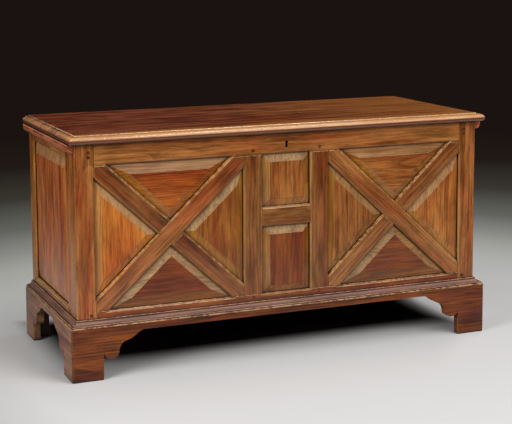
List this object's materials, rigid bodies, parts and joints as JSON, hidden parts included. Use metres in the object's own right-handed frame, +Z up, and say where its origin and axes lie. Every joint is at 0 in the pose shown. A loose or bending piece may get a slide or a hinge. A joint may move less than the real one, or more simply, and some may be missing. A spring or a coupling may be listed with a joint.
{
  "type": "blanket chest",
  "caption": "Panelled wooden blanket chest with crossed front braces, a hinged thumb-moulded lid, a moulded base and scroll-cut bracket feet.",
  "frame": {"origin": "on the floor, under the middle of the chest", "axes": "+X to the right along the front, -Y towards the front, +Z up"},
  "size_m": [1.266, 0.539, 0.6613],
  "materials": {
    "frame_wood": "waxed",
    "panel_wood": "waxed",
    "foot_wood": "waxed",
    "lid_wood": "waxed, satin",
    "hidden_wood": "unfinished",
    "iron": "dull, worn"
  },
  "bodies": {
    "case": {"front_left_post": "frame_wood", "front_right_post": "frame_wood", "rear_left_post": "frame_wood", "rear_right_post": "frame_wood", "front_top_rail": "frame_wood", "front_bottom_rail": "frame_wood", "front_left_muntin": "frame_wood", "front_right_muntin": "frame_wood", "front_middle_rail": "frame_wood", "left_through_brace": "frame_wood", "left_halved_brace": "frame_wood", "right_through_brace": "frame_wood", "right_halved_brace": "frame_wood", "left_x_top_panel": "panel_wood", "left_x_bottom_panel": "panel_wood", "left_x_left_panel": "panel_wood", "left_x_right_panel": "panel_wood", "right_x_top_panel": "panel_wood", "right_x_bottom_panel": "panel_wood", "right_x_left_panel": "panel_wood", "right_x_right_panel": "panel_wood", "centre_upper_panel": "panel_wood", "centre_lower_panel": "panel_wood", "left_end_top_rail": "frame_wood", "left_end_bottom_rail": "frame_wood", "left_end_panel": "panel_wood", "right_end_top_rail": "frame_wood", "right_end_bottom_rail": "frame_wood", "right_end_panel": "panel_wood", "back_top_rail": "hidden_wood", "back_bottom_rail": "hidden_wood", "back_muntin": "hidden_wood", "back_left_panel": "hidden_wood", "back_right_panel": "hidden_wood", "bottom_board_1": "hidden_wood", "bottom_board_2": "hidden_wood", "front_base_moulding": "foot_wood", "left_base_moulding": "foot_wood", "right_base_moulding": "foot_wood", "front_bracket_board": "foot_wood", "left_bracket_board": "foot_wood", "right_bracket_board": "foot_wood", "rear_left_foot_bracket": "foot_wood", "rear_right_foot_bracket": "foot_wood", "front_left_foot_block": "hidden_wood", "front_right_foot_block": "hidden_wood", "rear_left_foot_block": "hidden_wood", "rear_right_foot_block": "hidden_wood", "left_hinge_case_leaf": "iron", "left_hinge_pin": "iron", "right_hinge_case_leaf": "iron", "right_hinge_pin": "iron", "lock_case": "iron"},
    "lid": {"lid_board": "lid_wood", "left_lid_cleat": "lid_wood", "right_lid_cleat": "lid_wood", "left_hinge_lid_leaf": "iron", "right_hinge_lid_leaf": "iron", "lid_staple": "iron"},
    "bolt": {"lock_bolt": "iron"}
  },
  "joints": [
    {"name": "lid_hinge", "type": "hinge", "parent": "case", "child": "lid", "pos_m": [0, 0.26525, 0.63715], "axis": [-1, 0, 0], "range_deg": [0, 100]},
    {"name": "lock_bolt_slide", "type": "slide", "parent": "case", "child": "bolt", "axis": [1, 0, 0], "range_m": [0, 0.012]}
  ]
}
